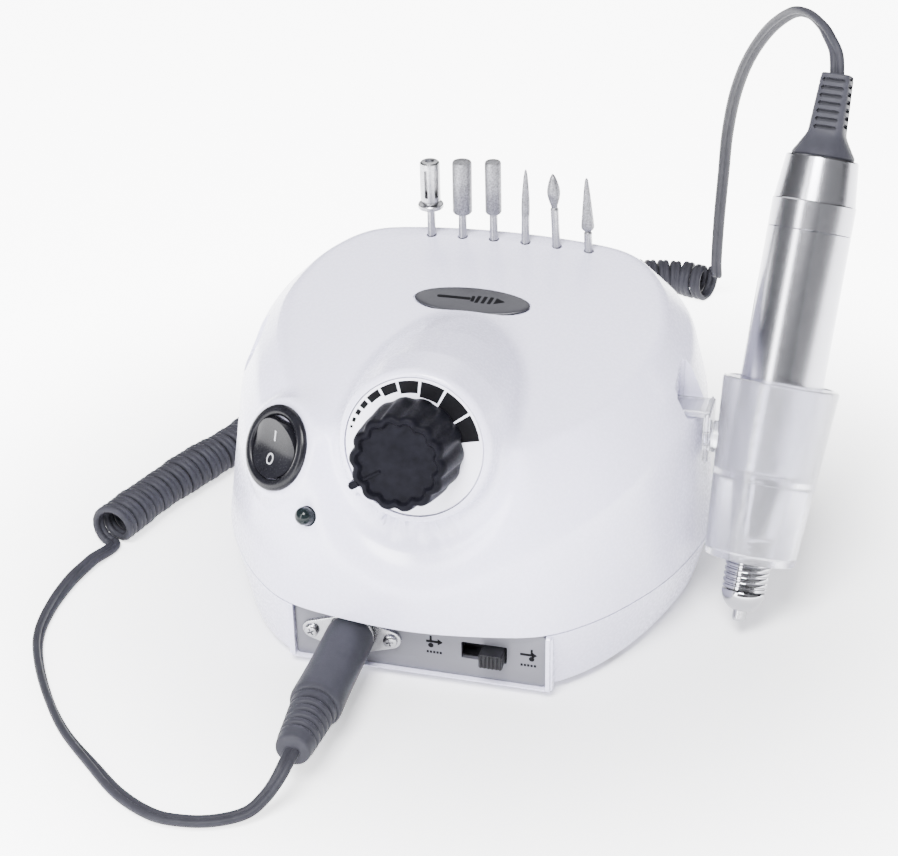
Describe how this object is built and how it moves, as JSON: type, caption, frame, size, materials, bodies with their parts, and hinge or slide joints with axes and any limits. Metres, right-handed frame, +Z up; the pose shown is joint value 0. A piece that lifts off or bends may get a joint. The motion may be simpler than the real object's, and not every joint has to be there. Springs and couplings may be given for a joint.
{
  "type": "electric nail drill",
  "caption": "Desktop nail drill: domed control box with speed knob, rocker switch and bit holes, plus a handpiece in a clear side holder on a coiled cord.",
  "frame": {"origin": "on the table, under the middle of the box around the unit, its holder and the handpiece; the cord and its plug are left out", "axes": "+Z up, -Y out of the front panel with the knob, +X to the side where the handpiece stands"},
  "size_m": [0.2139, 0.3269, 0.1541],
  "materials": {
    "casing": "semi-gloss white moulding",
    "panel": "satin silver",
    "dial": "printed white disc",
    "badge": "domed silver emblem",
    "black_plastic": "satin black",
    "lamp_lens": "dark lens, unlit",
    "bright_steel": "plated steel",
    "screws": "zinc plated",
    "feet": "matt",
    "core_steel": "stacked laminations",
    "copper": "enamelled copper wire",
    "board": "solder mask",
    "capacitor_sleeve": "printed sleeve",
    "heat_sink": "plain extrusion",
    "rack": "moulded",
    "barrel_aluminium": "satin anodised",
    "chrome": "polished",
    "grey_rubber": "satin grey flexible PVC",
    "clear_plastic": "clear, slightly frosted",
    "bit_steel": "ground steel"
  },
  "bodies": {
    "unit": {"upper_casing": "casing", "lower_casing": "casing", "front_panel": "panel", "dial_plate": "dial", "name_badge": "badge", "direction_switch_body": "black_plastic", "mode_switch_body": "black_plastic", "rocker_bezel": "black_plastic", "fuse_holder": "black_plastic", "foot_pedal_jack": "black_plastic", "mains_gland": "black_plastic", "power_lamp": "lamp_lens", "din_socket": "bright_steel", "pot_body": "bright_steel", "pot_nut": "bright_steel", "socket_screw_left": "screws", "socket_screw_right": "screws", "casing_screw_1": "screws", "casing_screw_2": "screws", "casing_screw_3": "screws", "casing_screw_4": "screws", "rubber_foot_1": "feet", "rubber_foot_2": "feet", "rubber_foot_3": "feet", "rubber_foot_4": "feet", "transformer_core": "core_steel", "transformer_winding": "copper", "circuit_board": "board", "filter_capacitor": "capacitor_sleeve", "heat_sink": "heat_sink", "bit_rack": "rack", "cord_coil": "grey_rubber", "holder_cup": "clear_plastic", "holder_bracket": "clear_plastic"},
    "speed_knob": {"speed_knob": "black_plastic", "pot_shaft": "bright_steel"},
    "power_rocker": {"power_rocker": "black_plastic"},
    "direction_slider": {"direction_slider": "black_plastic"},
    "mode_slider": {"mode_slider": "black_plastic"},
    "fuse_cap": {"fuse_cap": "black_plastic"},
    "handpiece": {"handpiece_barrel": "barrel_aluminium", "handpiece_cap": "chrome", "handpiece_boot": "grey_rubber", "handpiece_motor": "bright_steel", "front_housing": "chrome", "nose_cone": "chrome", "front_bearing": "bright_steel", "cord_riser": "grey_rubber"},
    "grip_sleeve": {"grip_sleeve": "bright_steel"},
    "spindle": {"spindle_collet": "bright_steel"},
    "plug": {"plug_body": "grey_rubber", "plug_shell": "bright_steel", "plug_strain_relief": "grey_rubber", "cord_front": "grey_rubber"},
    "bit_mandrel": {"bit_mandrel": "bit_steel"},
    "bit_barrel": {"bit_barrel": "bit_steel"},
    "bit_slim_barrel": {"bit_slim_barrel": "bit_steel"},
    "bit_needle": {"bit_needle": "bit_steel"},
    "bit_flame": {"bit_flame": "bit_steel"},
    "bit_cone": {"bit_cone": "bit_steel"}
  },
  "joints": [
    {"name": "speed_knob_turn", "type": "hinge", "parent": "unit", "child": "speed_knob", "pos_m": [-0.0158, -0.0519, 0.07], "axis": [0, -0.9659, 0.2588], "range_deg": [-250, 0]},
    {"name": "power_rocker_tilt", "type": "hinge", "parent": "unit", "child": "power_rocker", "pos_m": [-0.0562, -0.0419, 0.0588], "axis": [0.8268, -0.5625, 0], "range_deg": [-14, 0]},
    {"name": "direction_slide", "type": "slide", "parent": "unit", "child": "direction_slider", "axis": [1, 0, 0], "range_m": [-0.0052, 0]},
    {"name": "mode_slide", "type": "slide", "parent": "unit", "child": "mode_slider", "axis": [1, 0, 0], "range_m": [0, 0.0052]},
    {"name": "fuse_cap_turn", "type": "hinge", "parent": "unit", "child": "fuse_cap", "pos_m": [-0.0361, 0.0607, 0.032], "axis": [0, 1, 0], "range_deg": [0, 60]},
    {"name": "plug_pull", "type": "slide", "parent": "unit", "child": "plug", "axis": [0, -1, 0], "range_m": [0, 0.012]},
    {"name": "handpiece_lift", "type": "slide", "parent": "unit", "child": "handpiece", "axis": [0.0704, 0.4269, 0.9015], "range_m": [0, 0.08]},
    {"name": "grip_sleeve_turn", "type": "hinge", "parent": "handpiece", "child": "grip_sleeve", "pos_m": [0.0659, -0.0177, 0.006], "axis": [0.0704, 0.4269, 0.9015], "range_deg": [-35, 0]},
    {"name": "spindle_spin", "type": "hinge", "parent": "handpiece", "child": "spindle", "pos_m": [0.0659, -0.0177, 0.006], "axis": [0.0704, 0.4269, 0.9015], "continuous": true},
    {"name": "bit_mandrel_lift", "type": "slide", "parent": "unit", "child": "bit_mandrel", "axis": [0, 0, 1], "range_m": [0, 0.02]},
    {"name": "bit_barrel_lift", "type": "slide", "parent": "unit", "child": "bit_barrel", "axis": [0, 0, 1], "range_m": [0, 0.02]},
    {"name": "bit_slim_barrel_lift", "type": "slide", "parent": "unit", "child": "bit_slim_barrel", "axis": [0, 0, 1], "range_m": [0, 0.02]},
    {"name": "bit_needle_lift", "type": "slide", "parent": "unit", "child": "bit_needle", "axis": [0, 0, 1], "range_m": [0, 0.02]},
    {"name": "bit_flame_lift", "type": "slide", "parent": "unit", "child": "bit_flame", "axis": [0, 0, 1], "range_m": [0, 0.02]},
    {"name": "bit_cone_lift", "type": "slide", "parent": "unit", "child": "bit_cone", "axis": [0, 0, 1], "range_m": [0, 0.02]}
  ]
}
